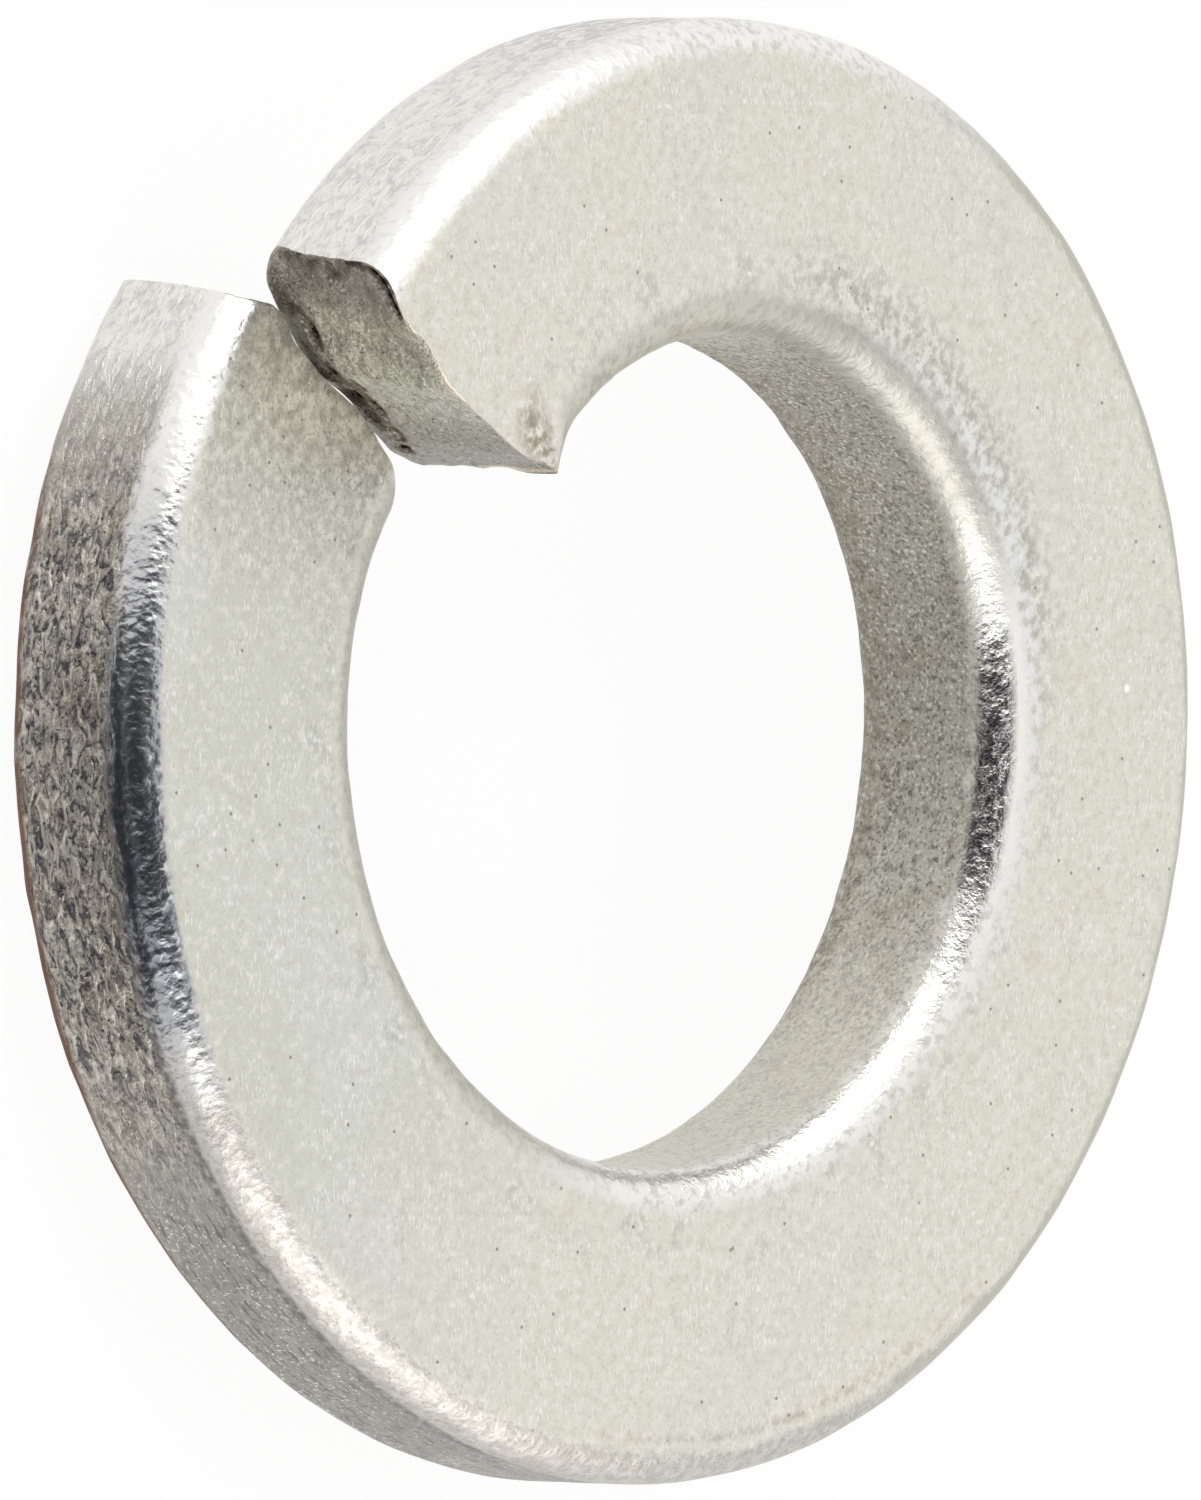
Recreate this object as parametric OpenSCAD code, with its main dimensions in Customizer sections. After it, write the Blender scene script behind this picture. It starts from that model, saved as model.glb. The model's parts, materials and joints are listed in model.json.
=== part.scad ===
// Helical spring lock washer: one coil of rounded, slightly wedge-shaped spring wire, cut through once.
// The bore runs along Z. The washer lies on its underside at z = 0 with its split facing -Y. Lengths are in mm.

/* [Ring] */
// Diameter of the bore
bore_d = 9.7; // [6:0.1:14]
// Width of the wire's section, from the bore to the outer wall
section_w = 3.68; // [2.4:0.02:6]
// Thickness of the wire's section, half way between the bore and the outer wall
section_t = 2.4; // [1.6:0.05:4]
// How much thicker the section is at the bore than at the outer wall, from bending the wire
keystone = 0.08; // [0:0.02:0.3]
// Radius of the wire's four rounded edges
edge_r = 0.52; // [0.2:0.02:0.7]

/* [Split] */
// How far the coil climbs in one full turn, which is how far the raised end stands above the low one
pitch = 2.09; // [0.6:0.01:4]
// Width of the split, square across it
split_gap = 0.25; // [0.15:0.05:1.4]
// How far the split leans from upright, in degrees, with the raised end reaching over the low one
cut_lean = 6.5; // [0:0.5:20]
// Length of wire over which a rounded edge sharpens into the biting corner at a cut
tooth_l = 1; // [0.4:0.1:2.5]
// Radius left on a biting corner
tooth_r = 0.06; // [0.02:0.02:0.18]

/* [Hidden] */

// Side of the washer that the split faces
split_angle = -90;
// Metal on both walls of the coil that is taken off when they are sized round
sizing = 0.01;
// Steps of the coil round its turn, along a biting corner and round one rounded edge
turn_steps = 120;
tooth_steps = 5;
edge_steps = 5;
// Sides of the drawn circles
round_steps = 180;

bore_r = bore_d / 2;
outer_r = bore_r + section_w;
mid_r = bore_r + section_w / 2;
coil_h = pitch + section_t + keystone;
lean = tan(cut_lean);
degrees = 180 / PI;
// The share of the coil's inner edge that a biting corner takes
tooth_share = tooth_l / (PI * bore_d);
// The rounded edges, limited to what the section's thin side can take
full_edge = min(edge_r, 0.45 * (section_t - keystone));

// Half the section's thickness at radius r
function half_t(r) = section_t / 2 + keystone * (mid_r - r) / section_w;

// Height of the section's middle at an angle from the split, 0 at half the coil's climb
function climb(angle) = pitch * (angle / 360 - 0.5);

// Angles at which a fibre of the wire, at radius r and height z in the section, meets the two cut faces.
// The faces are flat and parallel, half a gap to each side of a plane that leans through the split.
function cut_arm(r) = r - lean * pitch / 360 * degrees;
function low_cut(r, z) = degrees * (split_gap / 2 + lean * (z - pitch / 2)) / cut_arm(r);
function raised_cut(r, z) = 360 - degrees * (split_gap / 2 - lean * (z + pitch / 2)) / cut_arm(r);

// Radius of the edge that bites, at a share of the coil's length from the cut
function biting_edge(share) =
    let (grown = min(share / tooth_share, 1))
    tooth_r + (full_edge - tooth_r) * sin(90 * grown);

// A quarter circle of radius r in a corner of the section, anticlockwise from the angle first.
// side is 1 at the outer wall and -1 at the bore, and face is 1 on top and -1 below.
function rounded_corner(side, face, r, first) =
    let (wall = side > 0 ? outer_r + sizing : bore_r - sizing,
         centre_r = wall - side * r,
         centre_z = face * (half_t(centre_r) - r))
    [for (i = [0:edge_steps])
        let (a = first + 90 * i / edge_steps)
        [centre_r + r * cos(a), centre_z + r * sin(a)]];

// The wire's section at a share of the way from the low end to the raised end, as [radius, height].
// At the bore, the raised end bites upwards and the low end bites downwards.
function section(share) = concat(
    rounded_corner(1, 1, full_edge, 0),
    rounded_corner(-1, 1, biting_edge(1 - share), 90),
    rounded_corner(-1, -1, biting_edge(share), 180),
    rounded_corner(1, -1, full_edge, 270));

// The section's points in space. Each point runs along its own helix from one cut face to the other.
function ring(share) =
    [for (p = section(share))
        let (from = low_cut(p[0], p[1]),
             angle = from + (raised_cut(p[0], p[1]) - from) * share,
             turned = split_angle + angle)
        [p[0] * cos(turned), p[0] * sin(turned), p[1] + climb(angle)]];

// Where the rings stand along the coil: close together at both ends, where the edge sharpens
shares = concat(
    [for (i = [0:tooth_steps - 1]) tooth_share * i / tooth_steps],
    [for (i = [0:turn_steps]) tooth_share + (1 - 2 * tooth_share) * i / turn_steps],
    [for (i = [1:tooth_steps]) 1 - tooth_share + tooth_share * i / tooth_steps]);

// The coil as swept, before its walls are sized
module coil() {
    rings = [for (share = shares) ring(share)];
    n = len(rings[0]);
    last = len(rings) - 1;
    lowest = min([for (p = rings[0]) p[2]]);
    skin = [for (i = [0:last - 1], j = [0:n - 1])
        let (a = i * n + j, b = i * n + (j + 1) % n)
        each [[a, a + n, b + n], [a, b + n, b]]];
    low_face = [for (j = [0:n - 1]) j];
    raised_face = [for (j = [0:n - 1]) last * n + n - 1 - j];
    translate([0, 0, -lowest])
        polyhedron(points = [for (r = rings) each r], faces = concat([low_face, raised_face], skin));
}

// The washer: the coil, with its outer wall and its bore sized to true cylinders
module lock_washer() {
    color([0.80, 0.79, 0.75])
        difference() {
            intersection() {
                coil();
                translate([0, 0, -coil_h / 2])
                    cylinder(r = outer_r, h = 2 * coil_h, $fn = round_steps);
            }
            translate([0, 0, -coil_h / 2])
                cylinder(r = bore_r, h = 2 * coil_h, $fn = round_steps);
        }
}

lock_washer();
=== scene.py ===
# %% [markdown]
# # A helical spring lock washer
# The washer is one coil of spring wire, cut through once and plated with zinc. It is coiled, sheared off,
# hardened, tumbled with thousands of others and plated, and each step leaves its mark on the metal. The
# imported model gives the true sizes. This script builds the same coil again with those marks on it.

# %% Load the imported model
import itertools
import json
import math

import bmesh
import bpy
import numpy as np
from mathutils import Matrix, Vector


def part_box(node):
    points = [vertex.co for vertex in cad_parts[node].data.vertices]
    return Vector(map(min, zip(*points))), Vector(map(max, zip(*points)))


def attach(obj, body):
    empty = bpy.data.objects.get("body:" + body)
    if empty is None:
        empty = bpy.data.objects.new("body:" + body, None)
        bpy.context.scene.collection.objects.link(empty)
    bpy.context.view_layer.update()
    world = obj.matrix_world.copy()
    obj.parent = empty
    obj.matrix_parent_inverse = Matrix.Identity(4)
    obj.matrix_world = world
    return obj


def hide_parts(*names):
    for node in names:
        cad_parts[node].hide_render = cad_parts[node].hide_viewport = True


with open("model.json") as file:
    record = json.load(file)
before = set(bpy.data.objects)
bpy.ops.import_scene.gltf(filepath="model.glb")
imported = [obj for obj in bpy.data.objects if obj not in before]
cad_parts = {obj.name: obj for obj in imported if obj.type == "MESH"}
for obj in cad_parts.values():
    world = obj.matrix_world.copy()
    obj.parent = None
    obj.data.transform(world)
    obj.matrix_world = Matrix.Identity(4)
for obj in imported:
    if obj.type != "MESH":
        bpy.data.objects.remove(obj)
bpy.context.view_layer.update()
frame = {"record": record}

# %% [markdown]
# ## Sizes
# Everything is worked out in millimetres and turned to metres once, when the mesh is made. The outer
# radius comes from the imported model's box and the bore from its mount. The others are the sizes that the
# coil is made to: its section, its climb in one turn, its split and the corners that bite at the two
# cuts.

# %% Sizes
mm = 0.001
low_corner, high_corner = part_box("lock_washer")
outer_r = (high_corner.x - low_corner.x) / 2 / mm
bore_mount = next(m for m in frame["record"]["mounts"] if m["name"] == "bore")
bore_r = bore_mount["dims"]["r_mm"]
section_w = outer_r - bore_r
mid_r = (outer_r + bore_r) / 2
section_t = 2.4
keystone = 0.08
edge_r = 0.52
pitch = 2.09
split_gap = 0.25
lean = math.tan(math.radians(6.5))
tooth_l = 1.0
tooth_r = 0.06
split_angle = math.radians(-90)
wire_length = 2 * math.pi * mid_r
print(f"wire {section_w:.2f} x {section_t} mm, {wire_length:.1f} mm long round its middle")

# %% [markdown]
# ## Camera
# The picture was taken with the washer standing on edge. Here the washer lies as it comes to rest, so the
# camera looks down on it and is rolled by a quarter turn, which gives the same view. The lens is long,
# because a washer this small is photographed from many times its own width, and its far side looks hardly
# smaller than its near one.

# %% Camera
picture_size = (1201, 1500)
washer_at = (626.1, 750.9)
camera_azimuth = math.radians(39.2)
camera_elevation = math.radians(42.84)
camera_roll = math.radians(91.06)
camera_distance = 426.5 * mm
focal_px = 36645
washer_middle = Vector((0, 0, (low_corner.z + high_corner.z) / 2))

up = Vector((0, 0, 1))
across = Vector((math.cos(camera_azimuth), math.sin(camera_azimuth), 0))
forward = Vector((-math.sin(camera_azimuth), math.cos(camera_azimuth), 0))
to_camera = up * math.sin(camera_elevation) - forward * math.cos(camera_elevation)
level_up = to_camera.cross(across)
picture_right = across * math.cos(camera_roll) + level_up * math.sin(camera_roll)
picture_up = level_up * math.cos(camera_roll) - across * math.sin(camera_roll)
px = camera_distance / focal_px
off_middle = (picture_right * (picture_size[0] / 2 - washer_at[0])
              - picture_up * (picture_size[1] / 2 - washer_at[1])) * px

camera = bpy.data.objects.new("camera", bpy.data.cameras.new("camera"))
bpy.context.scene.collection.objects.link(camera)
bpy.context.scene.camera = camera
camera.data.sensor_width = 36
camera.data.lens = focal_px / picture_size[1] * camera.data.sensor_width
camera.data.clip_start = 0.01
turn = Matrix((picture_right, picture_up, to_camera)).transposed().to_4x4()
camera.matrix_world = Matrix.Translation(washer_middle + off_middle + to_camera * camera_distance) @ turn
print(f"lens {camera.data.lens:.0f} mm, {camera_distance:.2f} m away")

# %% [markdown]
# ## Studio
# Bright metal shows its surroundings, so the studio makes half of the look. Two soft boxes stand at the
# washer's sides and give the white bands along its rounded edges. The camera side of the room is dark,
# and the edges that face the camera reflect that. A helper turns a brightness, where 1 shows as white,
# into a lamp's power.

# %% Studio helpers
def linear(hex_colour, alpha=1.0):
    """An sRGB hex colour as linear light. Each channel is raised to the power 2.4, except near black."""
    channels = [int(hex_colour[i:i + 2], 16) / 255 for i in (1, 3, 5)]
    return [c / 12.92 if c < 0.04045 else ((c + 0.055) / 1.055) ** 2.4 for c in channels] + [alpha]


def add(tree, kind, inputs=(), **settings):
    """Adds a node. The settings are its properties. Each input is linked to an output or set to a value."""
    node = tree.nodes.new(kind)
    for name, value in settings.items():
        setattr(node, name, value)
    for socket, value in dict(inputs).items():
        if isinstance(value, bpy.types.NodeSocket):
            tree.links.new(value, node.inputs[socket])
        else:
            node.inputs[socket].default_value = value
    return node


def new_material(name):
    """A material with an empty node tree, and its output node."""
    material = bpy.data.materials.new(name)
    material.use_nodes = True
    material.node_tree.nodes.clear()
    return material, material.node_tree, material.node_tree.nodes.new("ShaderNodeOutputMaterial")


def link_object(name, data):
    """Puts new data into the scene as an object at the origin."""
    made = bpy.data.objects.new(name, data)
    bpy.context.scene.collection.objects.link(made)
    return made


# %% Floor and room
def seen_directly(tree):
    """1 for a ray from the camera, a mirror or glass, and 0 for one that carries light."""
    path = add(tree, "ShaderNodeLightPath")
    first = add(tree, "ShaderNodeMath", {0: path.outputs["Is Camera Ray"], 1: path.outputs["Is Glossy Ray"]},
                operation="MAXIMUM")
    return add(tree, "ShaderNodeMath", {0: first.outputs[0], 1: path.outputs["Is Transmission Ray"]},
               operation="MAXIMUM").outputs[0]


# The share of the floor's look that is plain white. The rest is lit, and keeps the washer's shadow.
floor_white = 0.93
room_light = 0.75

floor_material, tree, output = new_material("white_paper")
lit = add(tree, "ShaderNodeBsdfDiffuse", {"Color": linear("#f4f4f4")})
white = add(tree, "ShaderNodeEmission", {"Color": linear("#ffffff"), "Strength": 1.0})
share = add(tree, "ShaderNodeMath", {0: seen_directly(tree), 1: floor_white}, operation="MULTIPLY")
mixed = add(tree, "ShaderNodeMixShader", {0: share.outputs[0], 1: lit.outputs[0], 2: white.outputs[0]})
tree.links.new(mixed.outputs[0], output.inputs["Surface"])

floor_size = 2.0
square = ((-1, -1), (1, -1), (1, 1), (-1, 1))
floor_mesh = bpy.data.meshes.new("floor")
floor_mesh.from_pydata([(x * floor_size / 2, y * floor_size / 2, 0) for x, y in square], [], [(0, 1, 2, 3)])
floor_mesh.materials.append(floor_material)
link_object("floor", floor_mesh)

world = bpy.data.worlds.new("room")
bpy.context.scene.world = world
world.use_nodes = True
world.node_tree.nodes.clear()
strength = add(world.node_tree, "ShaderNodeMapRange",
               {"Value": seen_directly(world.node_tree), "To Min": room_light, "To Max": 1.0})
background = add(world.node_tree, "ShaderNodeBackground",
                 {"Color": linear("#ffffff"), "Strength": strength.outputs[0]})
add(world.node_tree, "ShaderNodeOutputWorld", {"Surface": background.outputs[0]})


# %% Soft boxes
def facing_washer(direction, distance):
    """Where something stands, and how it is turned, to look at the washer from a direction."""
    direction = direction.normalized()
    turned = (-direction).to_track_quat("-Z", "Y").to_matrix().to_4x4()
    return Matrix.Translation(washer_middle + direction * distance) @ turned


box_distance, box_width, box_height = 0.16, 0.15, 0.13


def soft_box(name, direction, brightness):
    """A rectangular lamp that looks at the washer. Its power is brightness times pi times its area."""
    lamp = bpy.data.lights.new(name, "AREA")
    lamp.shape, lamp.size, lamp.size_y = "RECTANGLE", box_width, box_height
    lamp.energy = brightness * math.pi * box_width * box_height
    made = link_object(name, lamp)
    made.matrix_world = facing_washer(direction, box_distance)
    made.visible_camera = False


# They stand to the left and right in the picture, well above the washer and a little nearer the camera
for name, side, brightness in (("left_soft_box", -1, 2.4), ("right_soft_box", 1, 2.2)):
    soft_box(name, across * side * 0.86 + up * 0.5 - forward * 0.1, brightness)


# %% Dark cards
def dark_card(name, corners, colour):
    """A dark card that is seen only in the metal, such as a photographer stands beside a shiny thing."""
    mesh = bpy.data.meshes.new(name)
    mesh.from_pydata(corners, [], [(0, 1, 2, 3)])
    card_material, card_tree, card_output = new_material(name)
    dark = add(card_tree, "ShaderNodeEmission", {"Color": linear(colour), "Strength": 1.0})
    card_tree.links.new(dark.outputs[0], card_output.inputs["Surface"])
    mesh.materials.append(card_material)
    card = link_object(name, mesh)
    card.visible_camera = card.visible_diffuse = card.visible_shadow = card.visible_transmission = False


# One card stands on the camera's side, above the washer
card_elevation = math.radians(39)
card_distance = 0.1
half_width, half_height = 0.045, 0.080
card_place = facing_washer(up * math.sin(card_elevation) - forward * math.cos(card_elevation), card_distance)
card_corners = [card_place @ Vector((x * half_width, y * half_height, 0)) for x, y in square]
dark_card("card_round_camera", card_corners, "#26272b")

# The other lies on the paper in front of the washer and opens away from it. These sizes are in millimetres.
near, far = outer_r + 1.4, outer_r + 60
above_paper = 0.02
dark_card("card_on_paper", [(across * wide - forward * away + up * above_paper) * mm
                            for wide, away in ((-2.5, near), (6, near), (36, far), (-22, far))], "#3e4045")

# %% [markdown]
# ## Noise
# Wear has no pattern, but it does have a size and a direction. Random numbers stand on the corners of a
# lattice of cubes, and a smooth curve blends them inside each cube. Stretching the lattice along the wire
# draws streaks.

# %% Noise
lattice_size = 64


def noise(points, cell, seed):
    """Smooth noise from -1 to 1. The weight of each of a cube's corners is 3t^2 - 2t^3 along every axis."""
    lattice = np.random.default_rng(seed).uniform(-1, 1, (lattice_size,) * 3)
    scaled = points / np.asarray(cell, float)
    base = np.floor(scaled).astype(int)
    t = scaled - base
    t = t * t * (3 - 2 * t)
    total = np.zeros(points.shape[:-1])
    for corner in itertools.product((0, 1), repeat=3):
        weight = np.prod(np.where(corner, t, 1 - t), axis=-1)
        i, j, k = np.moveaxis((base + corner) % lattice_size, -1, 0)
        total += weight * lattice[i, j, k]
    return total


def smooth_step(low, high, value):
    """0 below low, 1 above high, and a smooth curve between them."""
    t = np.clip((value - low) / (high - low), 0, 1)
    return t * t * (3 - 2 * t)


def hill(value, centre, width):
    """A smooth hill, 1 at its centre: e to the power of minus the squared distance, counted in widths."""
    return np.exp(-((value - centre) / width) ** 2)


# %% [markdown]
# ## The wire's section
# The wire is a rounded rectangle, a little thicker at the bore. Half of its outline runs from the middle
# of the outer wall over one face to the middle of the bore wall. The other half is the same turned over,
# so the points pair off above and below, and the cut faces can be closed between the pairs.

# %% Section
wall_cells, corner_cells, face_cells, bore_cells = 14, 16, 34, 10
borders_at = np.cumsum([wall_cells, corner_cells, face_cells, corner_cells])


def half_thickness(r):
    """Half the section's thickness at radius r. It falls in a straight line from the bore outwards."""
    return section_t / 2 + keystone * (mid_r - r) / section_w


def half_outline(bore_edge):
    """Radius, height and outward normal along half of the section, for each rounding of the bore's edge."""
    bore_edge = bore_edge[:, None]
    top_outer = half_thickness(outer_r - edge_r)
    top_inner = half_thickness(bore_r + bore_edge)
    flat = np.zeros_like(bore_edge)

    def steps(cells, last=False):
        """Even steps from 0 to 1. The step to 1 itself is left to the next stretch, except on the last."""
        return np.arange(cells + last)[None] / cells

    t = steps(wall_cells)
    stretches = [(outer_r + flat * t, (top_outer - edge_r) * t + flat, 1 + flat * t, flat * t)]
    a = steps(corner_cells) * math.pi / 2 + flat
    stretches.append((outer_r - edge_r + edge_r * np.cos(a), top_outer - edge_r + edge_r * np.sin(a),
                      np.cos(a), np.sin(a)))
    t = steps(face_cells)
    stretches.append((outer_r - edge_r + (bore_r + bore_edge - outer_r + edge_r) * t,
                      top_outer + (top_inner - top_outer) * t, flat * t, 1 + flat * t))
    a = steps(corner_cells) * math.pi / 2 + math.pi / 2
    stretches.append((bore_r + bore_edge + bore_edge * np.cos(a),
                      top_inner - bore_edge + bore_edge * np.sin(a),
                      np.cos(a) + flat, np.sin(a) + flat))
    t = steps(bore_cells, last=True)
    stretches.append((bore_r + flat * t, (top_inner - bore_edge) * (1 - t), -1 + flat * t, flat * t))
    return [np.concatenate(columns, axis=1) for columns in zip(*stretches)]


def round_way(r, z):
    """How far round the half section each point lies, from the middle of the outer wall, and its borders."""
    step_r, step_z = [np.diff(values, axis=1, prepend=values[:, :1]) for values in (r, z)]
    way = np.cumsum(np.hypot(step_r, step_z), axis=1)
    return way, way[:, borders_at]


def whole(top, low, sign=1):
    """Values round the whole section, anticlockwise: one half, then the other turned over."""
    return np.concatenate([top, sign * low[:, -2:0:-1]], axis=1)


# %% [markdown]
# ## The coil
# Each point of the section follows its own helix from one cut face to the other. The rings stand close
# together near the cuts, where the detail is, and about a tenth of a millimetre apart elsewhere. The
# shear leaves the edges of the bore sharper at the cuts, most of all the two corners that bite.

# %% Rings along the coil
ring_count = 460
ring_gap, ring_gap_at_cut, fine_length = 0.1, 0.02, 0.35
along = np.linspace(0, wire_length, 4001)
to_cut = np.minimum(along, wire_length - along)
gap_here = ring_gap - (ring_gap - ring_gap_at_cut) * np.exp(-to_cut / fine_length)
rings_so_far = np.concatenate([[0], np.cumsum(1 / gap_here[1:])])
share = np.interp(np.linspace(0, rings_so_far[-1], ring_count + 1), rings_so_far, along) / wire_length
from_low = share * wire_length
from_raised = wire_length - from_low


def rounding(from_cut, at_cut, length):
    """The rounding of an edge near a cut. It grows from its size there with the sine of the way along."""
    return at_cut + (edge_r - at_cut) * np.sin(np.minimum(from_cut / length, 1) * math.pi / 2)


# Each edge of the bore at a cut: its rounding there, and the length of wire over which that grows
biting = (tooth_r, tooth_l * mid_r / bore_r)
sheared_top = (0.46, 1.0)
sheared_low = (0.26, 1.2)
top_edge = np.minimum(rounding(from_raised, *biting), rounding(from_low, *sheared_top))
low_edge = np.minimum(rounding(from_low, *biting), rounding(from_raised, *sheared_low))
top_half = half_outline(top_edge)
low_half = half_outline(low_edge)
section_r, normal_r = [whole(top_half[i], low_half[i]) for i in (0, 2)]
section_z, normal_z = [whole(top_half[i], low_half[i], -1) for i in (1, 3)]
top_way, top_borders = round_way(*top_half[:2])
low_way, low_borders = round_way(*low_half[:2])
way_round = whole(top_way, low_way, -1)
past_border = [whole(top_way - top_borders[:, [i]], low_way - low_borders[:, [i]]) for i in range(4)]
points_round = section_r.shape[1]
print(f"{ring_count + 1} rings of {points_round} points")

# %% [markdown]
# ## Marks on the wire
# The outer wall is rolled and scraped along the wire, the rounded edges are wrinkled across it by bending
# and peened by tumbling, and the faces are nearly flat. Each mark is noise of its own size, and it moves
# the surface in or out along the section's normal by hundredths of a millimetre. Single dents are smooth
# hills turned inwards.

# %% Marks
on_wall = np.clip(normal_r, 0, 1) ** 2
on_bore = np.clip(-normal_r, 0, 1) ** 2
on_edge = np.clip(2 * np.abs(normal_r * normal_z), 0, 1)
on_face = np.abs(normal_z) ** 4
run = from_low[:, None] + np.zeros_like(section_r)
from_split = np.degrees(run / mid_r)
wire = np.stack([run, section_r, section_z], axis=-1)

# The wall is roughest on the stretch after the low end
rough_wall = on_wall * (0.4 + 0.6 * smooth_step(9, 25, from_split) * smooth_step(82, 60, from_split))

# Each mark: the part of the section it lies on, its depth, and its size along, across and through the wire
marks = [
    (rough_wall, 0.016, (1.1, 0.32, 0.32)),
    (rough_wall, 0.024, (0.4, 0.2, 0.2)),
    (on_edge, 0.006, (0.25, 0.4, 0.4)),
    (on_edge, 0.008, (0.7, 0.5, 0.5)),
    (on_face, 0.005, (1.4, 1.1, 1.1)),
    (on_bore, 0.007, (0.9, 0.5, 0.5)),
    (on_bore, 0.004, (0.25, 0.2, 0.2)),
]
height = sum(part * depth * noise(wire, cell, seed) for seed, (part, depth, cell) in enumerate(marks, 1))

# Each dent: degrees from the split, way round the section, half its length, half its width, and its depth
dents = [
    (35.8, -0.17, 0.17, 0.20, 0.035),
    (46.0, 0.52, 0.20, 0.10, 0.025),
    (58.0, 0.05, 0.16, 0.18, 0.025),
    (20.0, 0.30, 0.30, 0.12, 0.020),
    (97.0, 0.35, 0.25, 0.12, 0.020),
    (214.0, -0.20, 0.30, 0.20, 0.030),
    (301.0, 0.25, 0.25, 0.12, 0.015),
]
for degrees, way, half_length, half_width, depth in dents:
    place_along = math.radians(degrees) * mid_r
    height -= depth * hill(run, place_along, half_length) * hill(way_round, way, half_width)
section_r = section_r + normal_r * height
section_z = section_z + normal_z * height

# %% [markdown]
# ## The cut faces
# A shear doesn't cut hard wire through: it dents it, and the rest tears. So a cut face swells and falls
# back in a wave, its borders at the two walls are rolled over, and it has a smooth, sheared facet where
# the blade went in, a thin burr, and pits. Depth is measured into the wire, from the flat face that the
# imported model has.

# %% Cut faces
def flat_cut(r, z, raised):
    """The angle at which a fibre meets a flat cut face that leans through the split."""
    arm = r - lean * pitch / (2 * math.pi)
    if raised:
        return 2 * math.pi - (split_gap / 2 - lean * (z + pitch / 2)) / arm
    return (split_gap / 2 + lean * (z - pitch / 2)) / arm


def raised_swell(x, z):
    """The raised cut face's wave, a sum of smooth hills: deepest where the walls are rolled over."""
    rolled = (0.21 + 0.09 * z) * hill(x, 0, 0.39 + 0.05 * z) + 0.28 * hill(x, section_w, 0.46)
    rolled += 0.12 * hill(x, section_w, 0.3) * hill(z, -1.0, 0.4)
    rolled -= 0.12 * hill(x, 3.25, 0.35) * hill(z, 1.1, 0.4)
    return rolled - 0.14 * hill(x, 2.05, 0.5) + 0.05 * hill(x, 0.7, 0.5) * smooth_step(-0.4, 0.8, z) - 0.02


def low_swell(x, z):
    """The low cut face's wave, summed in the same way. It fits the raised one roughly."""
    rolled = 0.42 * hill(x, 0, 0.38) + 0.14 * hill(x, section_w, 0.3)
    return rolled - 0.07 * hill(x, 1.35, 0.45) - 0.12 * hill(x, 3.05, 0.25) - 0.05


# Pits on the two cut faces: distance from the bore, height, two half widths and a depth
raised_pits = [
    (2.62, -0.74, 0.16, 0.07, 0.10),
    (2.98, -0.86, 0.10, 0.12, 0.04),
    (1.98, -0.84, 0.18, 0.12, 0.06),
    (1.42, -0.96, 0.16, 0.14, 0.09),
    (1.75, -0.62, 0.16, 0.05, 0.05),
    (1.30, -0.68, 0.18, 0.05, 0.05),
    (1.05, -0.90, 0.12, 0.08, 0.05),
    (0.42, -0.90, 0.10, 0.08, 0.07),
    (0.75, -0.75, 0.16, 0.07, 0.05),
    (3.45, 0.10, 0.08, 0.10, 0.05),
]
low_pits = [
    (2.90, 0.50, 0.12, 0.20, 0.10),
    (1.90, 0.80, 0.20, 0.14, 0.10),
    (1.00, 0.30, 0.12, 0.10, 0.06),
]


def torn_face(r, z, inset, raised):
    """How far a cut face lies inside the flat one, and how dirty it is there, from 0 to 1. The depth is the
    wave plus noise of three sizes, smaller on the sheared facet, plus a hill for the rim, each pit and the
    crack."""
    x = r - bore_r
    at = np.stack([x, z, np.full_like(x, 3.5 if raised else 7.5)], axis=-1)
    torn = (0.020 * noise(at, (0.5, 0.4, 1), 11) + 0.016 * noise(at, (0.17, 0.14, 1), 12)
            + 0.010 * noise(at, (0.07, 0.06, 1), 13))
    top = z if raised else -z
    facet = smooth_step(0.0, 0.25, top - 0.2 - 0.9 * x)
    lip = smooth_step(1.9, 1.5, x) * smooth_step(0.3, 0.8, top)
    depth = (raised_swell if raised else low_swell)(x, z) + torn * (1 - 0.85 * facet)
    # The rim is rubbed back, except for the burr along the lip, which stands out
    depth += np.exp(-inset / 0.06) * (0.04 * (1 - lip) - 0.03 * lip)
    dirt = np.zeros_like(x)
    for pit_x, pit_z, width_x, width_z, pit_depth in raised_pits if raised else low_pits:
        pit = hill(x, pit_x, width_x) * hill(z, pit_z, width_z)
        depth += pit_depth * pit
        soil = hill(x, pit_x, 1.7 * width_x) * hill(z, pit_z, 2.2 * width_z)
        dirt += (0.6 * pit + 0.4 * soil) * min(pit_depth / 0.08, 1)
    # The crack runs just inside the rounded front corner, where the metal has folded over
    corner_x, corner_z = section_w - edge_r, half_thickness(outer_r - edge_r) - edge_r
    reach = np.hypot(x - corner_x, top - corner_z)
    crack = hill(reach + 0.05 * torn / 0.03, edge_r - 0.08, 0.035)
    crack *= smooth_step(-0.14, 0.04, x - corner_x) * smooth_step(0.0, 0.14, top - corner_z)
    depth += 0.07 * crack
    return depth, np.clip(dirt + crack, 0, 1)


no_inset = np.zeros_like(section_r)
low_depth, _ = torn_face(section_r, section_z, no_inset, False)
raised_depth, _ = torn_face(section_r, section_z, no_inset, True)
low_angle = flat_cut(section_r, section_z, False) + low_depth / section_r
raised_angle = flat_cut(section_r, section_z, True) - raised_depth / section_r
angle = low_angle + (raised_angle - low_angle) * share[:, None]


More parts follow.
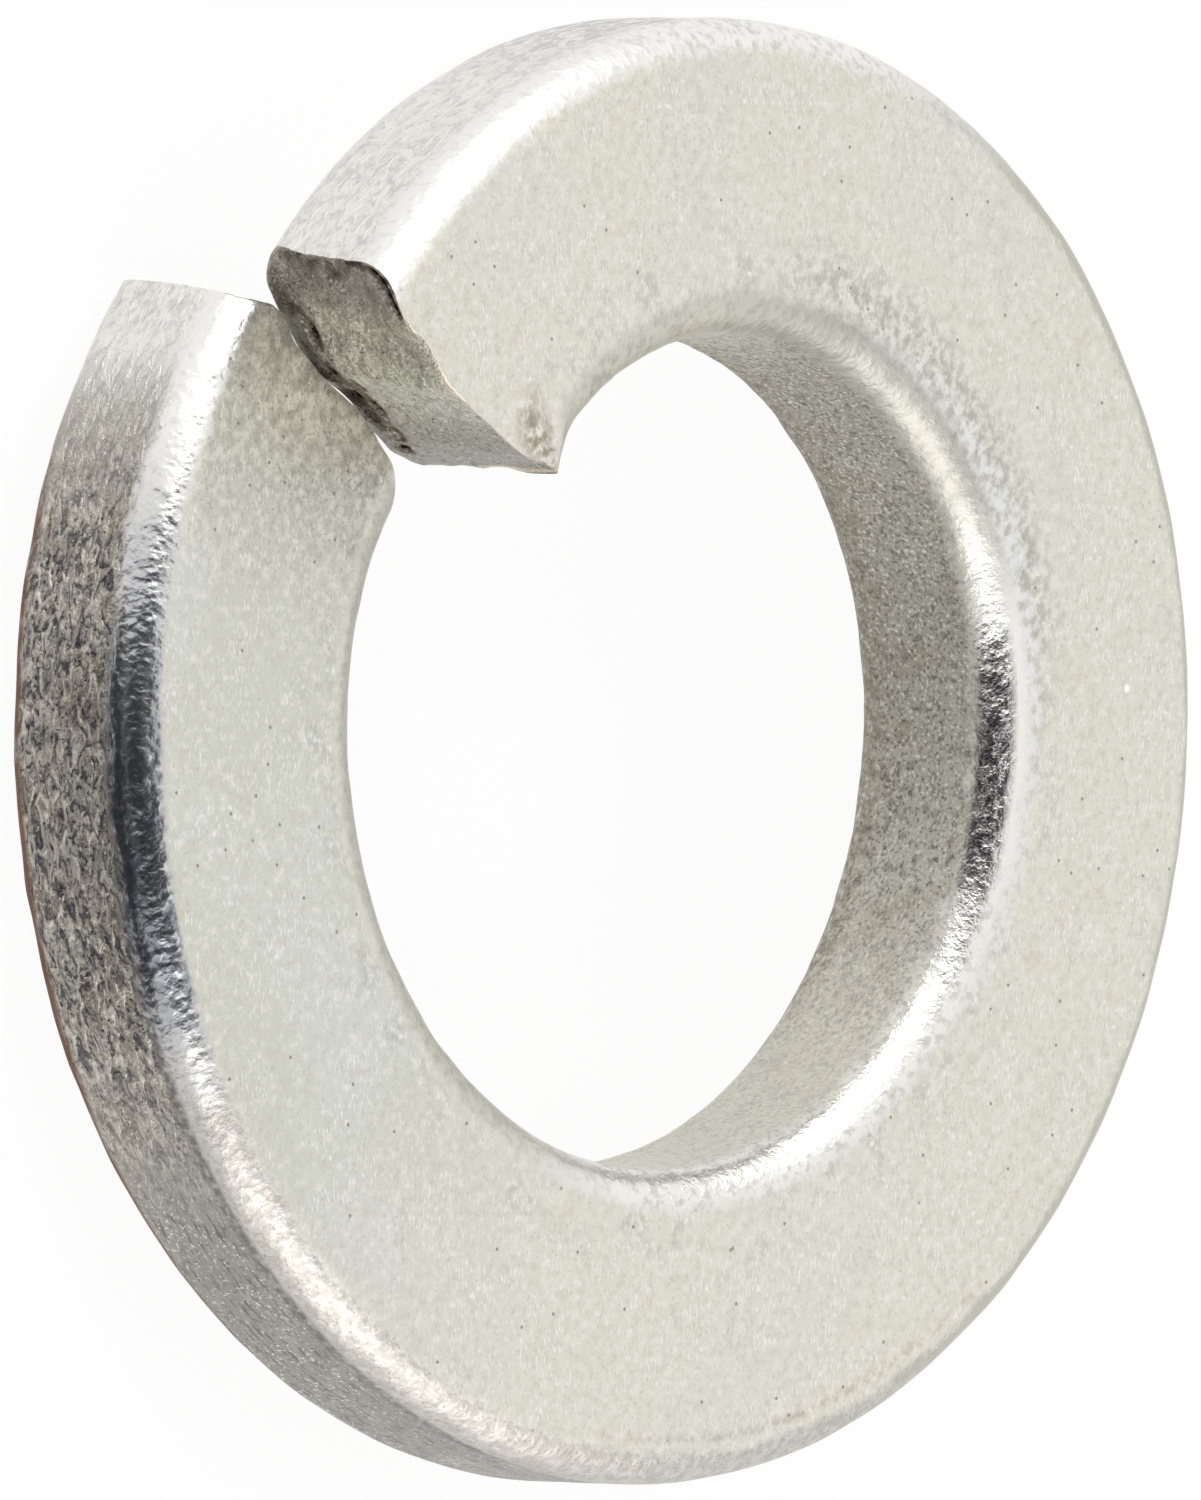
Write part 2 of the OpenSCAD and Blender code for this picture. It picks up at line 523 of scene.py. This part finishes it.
# %% Caps on the cut faces
def cap(ring_r, ring_z, raised, rings):
    """A cut face. Each point goes straight from the outline to a spine along the section's middle, in steps
    that grow on the way."""
    pair = np.roll(np.arange(points_round)[::-1], 1)
    spine_r = np.clip((ring_r + ring_r[pair]) / 2, bore_r + section_t / 2, outer_r - section_t / 2)
    way = (np.arange(1, rings + 1)[:, None] / rings) ** 1.4
    r = ring_r + (spine_r - ring_r) * way
    z = ring_z * (1 - way)
    inset = way * np.hypot(spine_r - ring_r, ring_z)
    depth, dirt = torn_face(r, z, inset, raised)
    flat = flat_cut(r, z, raised)
    return r, z, flat - depth / r if raised else flat + depth / r, dirt, inset


raised_rings, low_rings = 28, 16
raised_cap = cap(section_r[-1], section_z[-1], True, raised_rings)
low_cap = cap(section_r[0], section_z[0], False, low_rings)


def end_to_end(low_values, values, raised_values):
    """Values for all points: the low cut face from its middle out, the coil, then the raised cut face."""
    low_values = np.broadcast_to(low_values, (low_rings, points_round))
    raised_values = np.broadcast_to(raised_values, (raised_rings, points_round))
    return np.concatenate([low_values[::-1], values, raised_values])


# %% [markdown]
# ## One closed skin
# The low cut face, the coil and the raised cut face are one long row of rings, so one grid of four-sided
# faces covers the whole washer. The grid ends in two spines, whose points meet in pairs and are welded.
# The mesh also carries what the finish needs: the place along and round the wire, how far a point is past
# each of the four borders of the section, whether it lies on a cut face, how dirty it is there and how
# far from the rim. Two broad noises ride on it too, because many coats use them.

# %% Skin
all_r, all_z, all_angle = [end_to_end(low_cap[i], values, raised_cap[i])
                           for i, values in enumerate((section_r, section_z, angle))]


def climb(turned):
    """Height of the section's middle at an angle from the split."""
    return pitch * (turned / (2 * math.pi) - 0.5)


lift = -(section_z[0] + climb(flat_cut(section_r[0], section_z[0], False))).min()
turned = all_angle + split_angle
skin = np.stack([all_r * np.cos(turned), all_r * np.sin(turned), all_z + climb(all_angle) + lift], axis=-1)

rows, columns = np.meshgrid(np.arange(len(skin) - 1), np.arange(points_round), indexing="ij")
here = rows * points_round + columns
beside = rows * points_round + (columns + 1) % points_round
quads = np.stack([here, here + points_round, beside + points_round, beside], axis=-1).reshape(-1, 4)

none = np.zeros_like(section_r)
wire_place = np.stack([all_angle * mid_r, end_to_end(way_round[0], way_round, way_round[-1]),
                       end_to_end(1, none, 1)], axis=-1)
past = [end_to_end(border[0], border, border[-1]) for border in past_border]
cut_marks = np.stack([end_to_end(1, none, 1), end_to_end(low_cap[3], none, raised_cap[3]),
                      end_to_end(low_cap[4], none, raised_cap[4])], axis=-1)
patchy = 0.7 * noise(skin, (0.36,) * 3, 21) + 0.5 * noise(skin, (0.17,) * 3, 22)
broad = noise(skin, (1.9,) * 3, 23)
carried = {
    "wire": wire_place,
    "past_outer": np.stack([past[0], past[1], patchy], axis=-1),
    "past_inner": np.stack([past[2], past[3], broad], axis=-1),
    "cut": cut_marks,
}

mesh = bpy.data.meshes.new("washer")
mesh.from_pydata(skin.reshape(-1, 3) * mm, [], quads.tolist())
for name, values in carried.items():
    attribute = mesh.attributes.new(name, "FLOAT_VECTOR", "POINT")
    attribute.data.foreach_set("vector", values.astype(np.float32).ravel())

weld_within = 0.0005 * mm
sharp_from = math.radians(50)
weld = bmesh.new()
weld.from_mesh(mesh)
bmesh.ops.remove_doubles(weld, verts=weld.verts, dist=weld_within)
open_edges = sum(not edge.is_manifold for edge in weld.edges)
volume = weld.calc_volume(signed=True) / mm ** 3
weld.to_mesh(mesh)
weld.free()
for polygon in mesh.polygons:
    polygon.use_smooth = True
mesh.set_sharp_from_angle(angle=sharp_from)
washer = link_object("washer", mesh)
triangles = sum(len(polygon.vertices) - 2 for polygon in mesh.polygons)
print(f"washer: {triangles} triangles, {open_edges} open edges, {volume:.1f} cubic mm")

# %% [markdown]
# ## Zinc plate
# The finish is zinc plate on tumbled spring steel, which is metal all over, so one metallic shader serves
# and only its colour, roughness and relief change from place to place. They are laid on as coats: each
# coat has a mask that says where it shows, and covers what lies under it. Patterns are given in real
# millimetres.

# %% Coats
zinc, tree, output = new_material("zinc_plated_spring_steel")
finish = {"colour": linear("#c6c3ba"), "roughness": 0.4, "height": 0.0}


def coat(mask, colour, roughness=None, height=None):
    """Lays a coat over the finish so far, where its mask is 1. Its relief is a height in millimetres."""
    # The colours that a Mix node blends are its inputs 6 and 7, and the result is its output 2
    finish["colour"] = add(tree, "ShaderNodeMix", {0: mask, 6: finish["colour"], 7: linear(colour)},
                           data_type="RGBA").outputs[2]
    for name, value in (("roughness", roughness), ("height", height)):
        if value is not None:
            finish[name] = add(tree, "ShaderNodeMix", {0: mask, 2: finish[name], 3: value}).outputs[0]


def where(*conditions):
    """A mask that is 1 where all the conditions hold: their product. A condition is a mask, a plain share,
    or a value with two levels. It fails at the first level and holds at the second, which may be lower."""
    product = None
    for condition in conditions:
        if isinstance(condition, tuple):
            value, none_at, full_at = condition
            condition = add(tree, "ShaderNodeMapRange",
                            {"Value": value, "From Min": none_at, "From Max": full_at}).outputs[0]
        product = condition if product is None else add(
            tree, "ShaderNodeMath", {0: product, 1: condition}, operation="MULTIPLY").outputs[0]
    return product


def relief(*terms):
    """The sum of patterns times their heights in millimetres, less half the heights, so that it is level."""
    total = -0.5 * sum(amount for _, amount in terms)
    for pattern, amount in terms:
        total = add(tree, "ShaderNodeMath", {0: pattern, 1: amount, 2: total},
                    operation="MULTIPLY_ADD").outputs[0]
    return total


def stretch(value, start, full, last, gone):
    """1 on a stretch of a length, faded in from start to full and out from last to gone."""
    return where((value, start, full), (value, gone, last))


# %% Places on the washer
at_object = add(tree, "ShaderNodeTexCoord").outputs["Object"]
place = add(tree, "ShaderNodeMapping", {"Vector": at_object, "Scale": (1 / mm,) * 3}).outputs[0]
across_place = add(tree, "ShaderNodeMapping",
                   {"Vector": place, "Rotation": (0, 0, -camera_azimuth)}).outputs[0]
wire_at = add(tree, "ShaderNodeAttribute", attribute_name="wire").outputs["Vector"]
along_wire, round_wire, _ = add(tree, "ShaderNodeSeparateXYZ", {"Vector": wire_at}).outputs
outer = add(tree, "ShaderNodeAttribute", attribute_name="past_outer").outputs["Vector"]
past_wall, past_edge, patchy = add(tree, "ShaderNodeSeparateXYZ", {"Vector": outer}).outputs
inner = add(tree, "ShaderNodeAttribute", attribute_name="past_inner").outputs["Vector"]
past_face, past_bore_edge, broad = add(tree, "ShaderNodeSeparateXYZ", {"Vector": inner}).outputs
cut = add(tree, "ShaderNodeAttribute", attribute_name="cut").outputs["Vector"]
is_cut, dirty, inset = add(tree, "ShaderNodeSeparateXYZ", {"Vector": cut}).outputs
top_side = where((round_wire, -0.2, 0.2))


def coil(start, full, last, gone):
    """1 on a stretch of the coil, given in degrees from the split."""
    return stretch(along_wire, *[math.radians(degrees) * mid_r for degrees in (start, full, last, gone)])


# %% Patterns in millimetres
# Each pattern is moved by its own number of these steps, so that no two are alike
seed_step = (7.3, 3.1, 5.7)


def grain(at, cell, seed, octaves=1, warp=0.0, flat=False):
    """Noise from 0 to 1 with cells of the given sizes in millimetres. A flat one ignores the third size."""
    cells = add(tree, "ShaderNodeMapping", {"Vector": at, "Location": [seed * step for step in seed_step],
                                            "Scale": [1 / size for size in cell]})
    return add(tree, "ShaderNodeTexNoise", {"Vector": cells.outputs[0], "Scale": 1.0, "Detail": octaves - 1,
                                            "Roughness": 0.6, "Distortion": warp},
               noise_dimensions="2D" if flat else "3D").outputs["Fac"]


# Patterns on the wire have their size along it first, then across it. The grain of real plate is a few
# micrometres, too fine to show here, so the pattern called fine draws it coarser.
streaks = grain(wire_at, (0.34, 0.06, 1), 3, octaves=3, flat=True)
crumple = grain(wire_at, (0.20, 0.12, 1), 6, octaves=6, warp=0.9, flat=True)
wrinkles = grain(wire_at, (0.11, 0.17, 1), 11, octaves=2, flat=True)
rag = grain(wire_at, (0.08, 0.08, 1), 1, octaves=2, flat=True)
fine = grain(place, (0.05, 0.05, 0.05), 16, octaves=2)
coarse = grain(place, (0.13, 0.13, 0.13), 28, octaves=4)
glints = grain(across_place, (0.10, 0.032, 1), 17, flat=True)


def beyond(past, softness):
    """1 past a border of the section and 0 before it. The border is ragged by about a twentieth of a mm."""
    moved = add(tree, "ShaderNodeMath", {0: past, 1: relief((rag, 0.14), (patchy, 0.06))})
    return where((moved.outputs[0], -softness, softness))


# %% [markdown]
# The outer wall keeps the skin of rolled wire under its plate. It is silvery near both ends, mottled on the
# stretch after the low end, and grey with light scratches after that. The mottle is partly dark scale and
# partly painted shade, painted reflection of the dark side of the room and painted highlights.

# %% Outer wall
coat(where((streaks, 0.42, 0.68)), "#b3b0a7", 0.45, relief((streaks, 0.008), (fine, 0.003)))
# A stretch that reaches past the cut at 360 degrees doesn't fade before it
both_ends = {0: coil(284, 300, 380, 390), 1: coil(-20, -10, 14, 24)}
silver = add(tree, "ShaderNodeMath", both_ends, operation="MAXIMUM").outputs[0]
coat(silver, "#eceae4", 0.36, relief((crumple, 0.022), (coarse, 0.02)))
coat(where(silver, (crumple, 0.48, 0.68), 0.8), "#cfcdc8")
coat(where(silver, (coarse, 0.52, 0.68), 0.6), "#c0bfbd")
coat(where(coil(282, 294, 318, 334), (crumple, 0.40, 0.56), 0.8), "#adaeb1")
grey_stretch = coil(64, 80, 165, 195)
coat(grey_stretch, "#9b9891", 0.40, relief((crumple, 0.03), (coarse, 0.03)))
coat(where(grey_stretch, (patchy, 0.0, 0.6), 0.7), "#aaa79e")
coat(where(grey_stretch, (streaks, 0.42, 0.32), 0.8), "#6b6963")
coat(where(grey_stretch, (coarse, 0.46, 0.34), 0.7), "#73716d")
coat(where(grey_stretch, (fine, 0.60, 0.68), (patchy, -0.8, 0.2)), "#dcd9cf", 0.3)
mottled = coil(12, 25, 62, 80)
blotched = add(tree, "ShaderNodeMath", {0: crumple, 1: relief((patchy, 0.04), (coarse, 0.20))}).outputs[0]
crumpled = relief((crumple, 0.07), (coarse, 0.06), (fine, 0.012))
coat(coil(7, 12, 24, 32), "#c4c1b8", 0.36, crumpled)
coat(mottled, "#b2ada2", 0.34, crumpled)
coat(where(mottled, (patchy, -0.1, 0.5), 0.6), "#85776a")
# Painted shade and reflection: the dark blotches are partly dark scale and partly painted shade and a
# painted reflection of the dark side of the room
coat(where(mottled, (blotched, 0.48, 0.36)), "#5c5b5c")
coat(where(mottled, (fine, 0.46, 0.34), (coarse, 0.6, 0.45)), "#3c3d42")
# Painted highlights: the light blotches stand in for light on the crumples
coat(where(mottled, (blotched, 0.53, 0.66)), "#dad5c9", 0.3)
coat(where(mottled, (fine, 0.62, 0.72), 0.7), "#dcd8cc", 0.3)

# %% [markdown]
# Bending wrinkles the rounded edges across the wire, and tumbling then peens them bright. They are the
# smoothest metal on the washer, so they show the soft boxes as white bands and the dark cards as a dark
# one, which a painted reflection deepens on the stretch after the low end. Below, the edge keeps the wall's
# skin, with a thin line of rust.

# %% Outer edge
rusty = where(coil(10, 25, 110, 140), (round_wire, 0.0, -0.2), (past_wall, 0.12, 0.24))
coat(where(rusty, (patchy, -0.8, -0.2)), "#7d5c4a", 0.6)
# The edge's coat begins a little before the edge does
early_edge = 0.04
nearer_edge = add(tree, "ShaderNodeMath", {0: past_wall, 1: early_edge}).outputs[0]
outer_edge = where(beyond(nearer_edge, 0.10), top_side)
coat(outer_edge, "#efeeea", 0.25, relief((wrinkles, 0.012), (coarse, 0.008), (fine, 0.002)))
coat(where(outer_edge, (wrinkles, 0.56, 0.74), 0.22), "#bcb9b1")
creamy = where(outer_edge, coil(58, 70, 175, 200))
coat(creamy, "#b9b6af", 0.52, relief((wrinkles, 0.008), (coarse, 0.018)))
coat(where(creamy, (coarse, 0.44, 0.60)), "#cac7c1", 0.48)
coat(where(creamy, (fine, 0.60, 0.72), 0.8), "#a09c91")
coat(where(outer_edge, coil(150, 170, 272, 296)), "#bebcb0", 0.5)
coat(where(outer_edge, coil(250, 272, 318, 336), (coarse, 0.48, 0.66), 0.6), "#b5b4ac", 0.4)
wrinkled = where(outer_edge, coil(14, 24, 60, 70), (past_wall, 0.80, 0.66))
coat(wrinkled, "#d0d0d1", 0.28, relief((wrinkles, 0.016), (coarse, 0.016)))
# Painted reflection: the edge is painted darker here, as a reflection of the dark side of the room, and the
# crests of its wrinkles are painted light as highlights
painted_reflection_band = where(wrinkled, coil(29, 42, 57, 66), (past_wall, 0.74, 0.60))
coat(painted_reflection_band, "#9b9ca2", 0.28)
coat(where(painted_reflection_band, (wrinkles, 0.58, 0.70), (past_wall, 0.12, 0.40), 0.8), "#e4e4e6")
shaded = where(coil(26, 40, 112, 125), top_side, stretch(past_wall, -0.16, -0.06, 0.0, 0.08))
coat(where(shaded, (coarse, 0.30, 0.55), 0.8), "#605f5a", 0.4)

# %% [markdown]
# The faces are tumbled matt: a warm, light grey with bluish patches, a fine grain of dull points, painted
# glints for bright points, and here and there a pinhole. One nick is painted white as a highlight. The face
# is darker in patches along the bore's edge, and dirt stays along the outer border.

# %% Faces
# The face's coat begins a little before the face does
early_face = 0.2
face = beyond(add(tree, "ShaderNodeMath", {0: past_edge, 1: early_face}).outputs[0], 0.06)
coat(face, "#dad7cc", 0.5, relief((fine, 0.002), (glints, 0.002)))
coat(where(face, coil(0, 25, 80, 110)), "#cfd0c6")
coat(where(face, (broad, 0.0, 0.5), 0.4), "#d6d8d4")
coat(where(face, (coarse, 0.50, 0.70), 0.6), "#c8c6b9")
coat(where(face, (coarse, 0.46, 0.30), 0.6), "#e8e6dd")
coat(where(face, (fine, 0.60, 0.72), 0.3), "#a8a69a")
# Painted glints: bright points painted white, stretched along the line between the two soft boxes
coat(where(face, (glints, 0.66, 0.76), (patchy, -0.5, 0.5), 0.45), "#fcfcfa", 0.38)
by_bore = where(face, stretch(past_face, -0.8, -0.3, 0.0, 0.2))
coat(where(by_bore, (patchy, 0.0, 0.5), (coarse, 0.42, 0.58), 0.35), "#a9aaa0")
coat(where(by_bore, coil(226, 240, 290, 312), (coarse, 0.42, 0.60), 0.6), "#a3a49b")
# A painted highlight: one nick on the right is painted white, as if it catches the light
painted_highlight_nick = where(coil(225.5, 225.8, 226.2, 226.5), stretch(past_edge, 0.83, 0.87, 0.91, 0.95))
coat(painted_highlight_nick, "#ffffff", 0.2)
low_end_dirt = where(face, coil(-20, -10, 3, 26))
coat(where(low_end_dirt, (coarse, 0.40, 0.62), 0.5), "#96948a")
coat(where(low_end_dirt, (fine, 0.56, 0.70), 0.4), "#77746a")
tip_stain = where(face, coil(353, 357, 359, 361), stretch(past_face, -0.75, -0.45, -0.05, 0.15))
coat(where(tip_stain, (coarse, 0.38, 0.56), 0.7), "#85765f")
border_dirt = where(stretch(past_edge, -0.06, 0.0, 0.03, 0.09), coil(118, 130, 160, 172))
coat(where(border_dirt, (coarse, 0.44, 0.66), 0.35), "#95856f")

# %% Pinholes
# One to a cell of a broken-up lattice, in the given share of the cells
pinhole_cell, pinhole_radius, pinhole_share = 0.40, 0.028, 0.14
cells = add(tree, "ShaderNodeMapping",
            {"Vector": place, "Location": seed_step, "Scale": (1 / pinhole_cell,) * 3})
lattice = add(tree, "ShaderNodeTexVoronoi", {"Vector": cells.outputs[0], "Scale": 1.0},
              voronoi_dimensions="2D")
lot = add(tree, "ShaderNodeSeparateColor", {"Color": lattice.outputs["Color"]}).outputs[0]
rim = pinhole_radius / pinhole_cell
pinhole = where((lattice.outputs["Distance"], rim, rim * 0.5), (lot, pinhole_share, pinhole_share - 0.01))
coat(where(face, pinhole, 0.8), "#807d73")

# %% [markdown]
# The bore's edge is like the outer one, with coarser pebbles. The wall of the bore has never been rolled
# or rubbed bright: it is an even, greenish grey with a fine grain, with painted light on one side and
# painted shade on another.

# %% Bore
bore_edge = beyond(past_face, 0.08)
coat(bore_edge, "#eceae5", 0.3, relief((fine, 0.006), (coarse, 0.016)))
matt_edge = where(bore_edge, coil(-20, -10, 95, 120))
coat(matt_edge, "#cbcac0", 0.5)
coat(where(matt_edge, (coarse, 0.45, 0.65), 0.6), "#b2b1a7")
coat(where(bore_edge, coil(100, 125, 200, 212), (coarse, 0.48, 0.64), 0.6), "#b5b5ae")
worn_edge = where(bore_edge, coil(236, 256, 346, 357))
coat(worn_edge, "#bab8af", 0.5, relief((fine, 0.005), (coarse, 0.015)))
coat(where(bore_edge, coil(296, 318, 352, 359)), "#cdcabf")
coat(where(worn_edge, (coarse, 0.46, 0.66), 0.5), "#9b988e")
pebbled = where(bore_edge, coil(198, 208, 230, 240), stretch(past_face, 0.16, 0.34, 0.60, 0.72))
coat(pebbled, "#c9c7c6", 0.28, relief((coarse, 0.045), (fine, 0.006)))
# The pebbles here are partly dark and partly a painted reflection of the dark side of the room
coat(where(pebbled, (coarse, 0.44, 0.56)), "#6d6a6c")
pale_border = where(coil(180, 196, 262, 290), stretch(past_face, -0.30, -0.08, 0.0, 0.14))
coat(where(pale_border, (coarse, 0.66, 0.44), 0.7), "#e4e6e6", 0.45)
underneath = where(beyond(past_face, 0.08), (round_wire, 0.0, -0.1))
early_wall = 0.14
nearer_wall = add(tree, "ShaderNodeMath", {0: past_bore_edge, 1: early_wall}).outputs[0]
hidden_or_wall = {0: beyond(nearer_wall, 0.10), 1: underneath}
bore_wall = add(tree, "ShaderNodeMath", hidden_or_wall, operation="MAXIMUM").outputs[0]
coat(bore_wall, "#c4c1b5", 0.55, relief((fine, 0.006), (coarse, 0.010)))
# Painted shade: the bore's wall is painted darker on this stretch
coat(where(bore_wall, coil(198, 232, 285, 310), 0.8), "#a3a094")
coat(where(bore_wall, (patchy, 0.2, 0.8), 0.4), "#8e846f")
coat(where(bore_wall, (coarse, 0.50, 0.64), 0.6), "#7f7d72")
coat(where(bore_wall, (fine, 0.57, 0.68), 0.7), "#5f5d54")
coat(where(bore_wall, (fine, 0.42, 0.30), 0.6), "#ecebe3")
# Painted light: the bore's wall is painted lighter on this stretch, as if a soft box lit it
coat(where(bore_wall, coil(100, 118, 172, 205), 0.55), "#e2dfd4")
grimy = where(underneath, coil(170, 190, 300, 320), (past_bore_edge, 0.25, -0.15))
coat(where(grimy, (coarse, 0.35, 0.60), 0.6), "#857a68")

# %% [markdown]
# The cut faces are torn steel under a thin plate: dull, greenish grey, with rust and black dirt in their
# pits, and a light rim where tumbling has rubbed the burr.

# %% Cut faces
flat_place = add(tree, "ShaderNodeMapping", {"Vector": place, "Scale": (1, 1, 0)}).outputs[0]
from_axis = add(tree, "ShaderNodeVectorMath", {0: flat_place}, operation="LENGTH").outputs["Value"]
coat(is_cut, "#cbcac0", 0.5, relief((coarse, 0.045), (fine, 0.012)))
coat(where(is_cut, (coarse, 0.45, 0.64)), "#a8a69c")
coat(where(is_cut, (from_axis, 6.3, 5.7)), "#a3a198")
coat(where(is_cut, (from_axis, 6.8, 8.4), (patchy, -0.9, 0.4)), "#8a8377")
coat(where(is_cut, (fine, 0.60, 0.70), 0.7), "#5d5a50")
coat(where(is_cut, (fine, 0.38, 0.28), 0.6), "#e6e5dd")
wall_rim = where((inset, 0.22, 0.04), stretch(round_wire, -1.0, -0.7, 1.1, 1.5))
coat(where(is_cut, wall_rim, (coarse, 0.40, 0.56)), "#4d4337", 0.6)
coat(where(is_cut, (inset, 0.07, 0.0), (patchy, -0.2, 0.1)), "#bdb6a8", 0.4)
coat(where(is_cut, (inset, 0.11, 0.05), (round_wire, 2.0, 2.8)), "#d3c8ba", 0.42)
soiled = add(tree, "ShaderNodeMath", {0: dirty, 1: relief((fine, 0.7), (coarse, 0.9))}).outputs[0]
near_dirt = where(is_cut, (dirty, 0.02, 0.30))
coat(where(near_dirt, (soiled, 0.12, 0.45), 0.85), "#6f6352", 0.7)
coat(where(near_dirt, (soiled, 0.60, 0.85)), "#1c1815", 0.8)

# %% Metal
bump = add(tree, "ShaderNodeBump", {"Height": finish["height"], "Strength": 1.0, "Distance": mm})
shader = add(tree, "ShaderNodeBsdfPrincipled", {"Base Color": finish["colour"], "Metallic": 1.0,
                                                "Roughness": finish["roughness"], "Normal": bump.outputs[0]})
tree.links.new(shader.outputs[0], output.inputs["Surface"])
washer.data.materials.append(zinc)
print("zinc plate:", len(tree.nodes), "nodes")

# %% Ride, and finish
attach(washer, "root")
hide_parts("lock_washer")

bpy.context.scene.view_settings.view_transform = "Standard"
